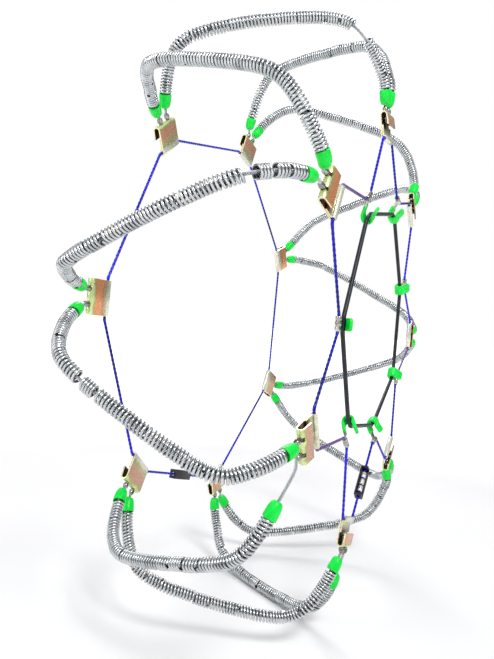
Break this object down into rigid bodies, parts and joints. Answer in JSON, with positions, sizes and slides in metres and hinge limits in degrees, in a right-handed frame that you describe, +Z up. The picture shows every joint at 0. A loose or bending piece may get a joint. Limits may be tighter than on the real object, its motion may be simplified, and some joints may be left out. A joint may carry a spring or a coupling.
{
  "type": "tire snow chains",
  "caption": "Cable-type truck tire snow chain in its fitted shape: side cables, coil-covered zigzag cross strands and a hooked rubber tensioner.",
  "frame": {"origin": "centre of the wheel the chain is fitted on, on the axle and midway between the tire's sidewalls", "axes": "+Y along the axle towards the vehicle, so the outer side with the hooks faces -Y; +Z up"},
  "size_m": [1.0605, 0.3683, 1.0735],
  "materials": {
    "blue_cable": "plastic-coated wire rope",
    "steel_cable": "galvanised wire rope",
    "traction_coil": "zinc-plated spring wire",
    "yellow_zinc": "iridescent yellow zinc plate",
    "green_hook": "plastic-dipped steel strip",
    "black_rubber": "matt",
    "black_steel": "black coating"
  },
  "bodies": {
    "side_cables": {"outer_side_cable": "blue_cable", "inner_side_cable": "blue_cable", "rubber_tensioner": "black_rubber", "outer_bracket_1": "yellow_zinc", "inner_bracket_1": "yellow_zinc", "outer_bracket_2": "yellow_zinc", "inner_bracket_2": "yellow_zinc", "outer_bracket_3": "yellow_zinc", "inner_bracket_3": "yellow_zinc", "outer_bracket_4": "yellow_zinc", "inner_bracket_4": "yellow_zinc", "outer_bracket_5": "yellow_zinc", "inner_bracket_5": "yellow_zinc", "outer_bracket_6": "yellow_zinc", "inner_bracket_6": "yellow_zinc", "outer_bracket_7": "yellow_zinc", "inner_bracket_7": "yellow_zinc"},
    "strand_1": {"strand_cable_1": "steel_cable", "traction_coils_1": "traction_coil"},
    "strand_2": {"strand_cable_2": "steel_cable", "traction_coils_2": "traction_coil"},
    "strand_3": {"strand_cable_3": "steel_cable", "traction_coils_3": "traction_coil"},
    "strand_4": {"strand_cable_4": "steel_cable", "traction_coils_4_outer": "traction_coil", "traction_coils_4_inner": "traction_coil"},
    "strand_5": {"strand_cable_5": "steel_cable", "traction_coils_5_outer": "traction_coil", "traction_coils_5_inner": "traction_coil"},
    "strand_6": {"strand_cable_6": "steel_cable", "traction_coils_6": "traction_coil"},
    "strand_7": {"strand_cable_7": "steel_cable", "traction_coils_7": "traction_coil"},
    "strand_8": {"strand_cable_8": "steel_cable", "traction_coils_8": "traction_coil"},
    "strand_9": {"strand_cable_9": "steel_cable", "traction_coils_9": "traction_coil"},
    "strand_10": {"strand_cable_10": "steel_cable", "traction_coils_10": "traction_coil"},
    "strand_11": {"strand_cable_11": "steel_cable", "traction_coils_11": "traction_coil"},
    "strand_12": {"strand_cable_12": "steel_cable", "traction_coils_12": "traction_coil"},
    "strand_13": {"strand_cable_13": "steel_cable", "traction_coils_13": "traction_coil"},
    "strand_14": {"strand_cable_14": "steel_cable", "traction_coils_14": "traction_coil"},
    "loose_coil_4": {"loose_coil_4": "traction_coil"},
    "loose_coil_5": {"loose_coil_5": "traction_coil"},
    "tensioner_hook_1": {"tensioner_hook_1": "green_hook"},
    "tensioner_hook_2": {"tensioner_hook_2": "green_hook"},
    "tensioner_hook_3": {"tensioner_hook_3": "green_hook"},
    "tensioner_hook_4": {"tensioner_hook_4": "green_hook"},
    "tensioner_hook_5": {"tensioner_hook_5": "green_hook"},
    "tensioner_hook_6": {"tensioner_hook_6": "green_hook"},
    "tensioner_hook_7": {"tensioner_hook_7": "green_hook"},
    "outer_fastener": {"outer_fastener": "black_steel"},
    "inner_fastener": {"inner_fastener": "black_steel"}
  },
  "joints": [
    {"name": "strand_1_swing", "type": "hinge", "parent": "side_cables", "child": "strand_1", "pos_m": [-0.04345, -0.16899, 0.36754], "axis": [-0.3521, -0.935, -0.0428], "range_deg": [-4, 4]},
    {"name": "strand_2_swing", "type": "hinge", "parent": "side_cables", "child": "strand_2", "pos_m": [-0.06718, -0.16899, 0.36395], "axis": [0.4263, -0.8967, 0.1192], "range_deg": [-4, 4]},
    {"name": "strand_3_swing", "type": "hinge", "parent": "side_cables", "child": "strand_3", "pos_m": [-0.34073, -0.16668, 0.19145], "axis": [-0.2553, -0.9164, -0.3082], "range_deg": [-4, 4]},
    {"name": "strand_4_swing", "type": "hinge", "parent": "side_cables", "child": "strand_4", "pos_m": [-0.35184, -0.16668, 0.17018], "axis": [0.1074, -0.9083, 0.4043], "range_deg": [-4, 4]},
    {"name": "strand_5_swing", "type": "hinge", "parent": "side_cables", "child": "strand_5", "pos_m": [-0.36175, -0.16734, -0.15285], "axis": [0.0821, -0.9109, -0.4044], "range_deg": [-4, 4]},
    {"name": "strand_6_swing", "type": "hinge", "parent": "side_cables", "child": "strand_6", "pos_m": [-0.35174, -0.16734, -0.17467], "axis": [-0.2483, -0.9136, 0.3219], "range_deg": [-4, 4]},
    {"name": "strand_7_swing", "type": "hinge", "parent": "side_cables", "child": "strand_7", "pos_m": [-0.12066, -0.17264, -0.36477], "axis": [0.33, -0.9315, -0.1528], "range_deg": [-4, 4]},
    {"name": "strand_8_swing", "type": "hinge", "parent": "side_cables", "child": "strand_8", "pos_m": [-0.09765, -0.17264, -0.37159], "axis": [-0.4336, -0.9003, 0.0388], "range_deg": [-4, 4]},
    {"name": "strand_9_swing", "type": "hinge", "parent": "side_cables", "child": "strand_9", "pos_m": [0.22189, -0.16932, -0.29498], "axis": [0.3517, -0.907, 0.2317], "range_deg": [-4, 4]},
    {"name": "strand_10_swing", "type": "hinge", "parent": "side_cables", "child": "strand_10", "pos_m": [0.24059, -0.16932, -0.27994], "axis": [-0.2824, -0.9261, -0.2502], "range_deg": [-4, 4]},
    {"name": "strand_11_swing", "type": "hinge", "parent": "side_cables", "child": "strand_11", "pos_m": [0.37217, -0.16932, -0.02668], "axis": [0.0475, -0.9227, 0.3825], "range_deg": [-4, 4]},
    {"name": "strand_12_swing", "type": "hinge", "parent": "side_cables", "child": "strand_12", "pos_m": [0.37311, -0.16932, -0.0027], "axis": [0.0306, -0.9098, -0.4139], "range_deg": [-4, 4]},
    {"name": "strand_13_swing", "type": "hinge", "parent": "side_cables", "child": "strand_13", "pos_m": [0.25431, -0.16932, 0.26616], "axis": [-0.2675, -0.9292, 0.2551], "range_deg": [-4, 4]},
    {"name": "strand_14_swing", "type": "hinge", "parent": "side_cables", "child": "strand_14", "pos_m": [0.23643, -0.16932, 0.28216], "axis": [0.3449, -0.9038, -0.2536], "range_deg": [-4, 4]},
    {"name": "loose_coil_4_spin", "type": "hinge", "parent": "strand_4", "child": "loose_coil_4", "pos_m": [-0.47269, -0.12995, 0.16686], "axis": [-0.7738, 0.5789, -0.257], "continuous": true},
    {"name": "loose_coil_5_spin", "type": "hinge", "parent": "strand_5", "child": "loose_coil_5", "pos_m": [-0.51442, 0.06177, -0.10528], "axis": [-0.0471, 0.8715, 0.4881], "continuous": true},
    {"name": "hook_1_tilt", "type": "hinge", "parent": "side_cables", "child": "tensioner_hook_1", "pos_m": [-0.14798, -0.172, 0.20889], "axis": [-0.816, 0, -0.5781], "range_deg": [-6, 20], "deforming": ["rubber_tensioner"]},
    {"name": "hook_2_tilt", "type": "hinge", "parent": "side_cables", "child": "tensioner_hook_2", "pos_m": [-0.257, -0.172, -0.00109], "axis": [0.0042, 0, -1], "range_deg": [-6, 20], "deforming": ["rubber_tensioner"]},
    {"name": "hook_3_tilt", "type": "hinge", "parent": "side_cables", "child": "tensioner_hook_3", "pos_m": [-0.15591, -0.172, -0.19029], "axis": [0.7735, 0, -0.6338], "range_deg": [-6, 20], "deforming": ["rubber_tensioner"]},
    {"name": "hook_4_tilt", "type": "hinge", "parent": "side_cables", "child": "tensioner_hook_4", "pos_m": [0.05747, -0.172, -0.22064], "axis": [0.9677, 0, 0.2521], "range_deg": [-6, 20], "deforming": ["rubber_tensioner"]},
    {"name": "hook_5_tilt", "type": "hinge", "parent": "side_cables", "child": "tensioner_hook_5", "pos_m": [0.23015, -0.172, -0.11211], "axis": [0.4379, 0, 0.899], "range_deg": [-6, 20], "deforming": ["rubber_tensioner"]},
    {"name": "hook_6_tilt", "type": "hinge", "parent": "side_cables", "child": "tensioner_hook_6", "pos_m": [0.22659, -0.172, 0.09832], "axis": [-0.3981, 0, 0.9174], "range_deg": [-6, 20], "deforming": ["rubber_tensioner"]},
    {"name": "hook_7_tilt", "type": "hinge", "parent": "side_cables", "child": "tensioner_hook_7", "pos_m": [0.07928, -0.172, 0.24972], "axis": [-0.9531, 0, 0.3026], "range_deg": [-6, 20], "deforming": ["rubber_tensioner"]},
    {"name": "outer_fastener_roll", "type": "hinge", "parent": "side_cables", "child": "outer_fastener", "pos_m": [-0.01449, -0.172, -0.28609], "axis": [0.6884, 0, 0.7253], "continuous": true},
    {"name": "inner_fastener_roll", "type": "hinge", "parent": "side_cables", "child": "inner_fastener", "pos_m": [-0.08127, 0.172, -0.3232], "axis": [0.9698, 0, -0.2439], "continuous": true}
  ]
}
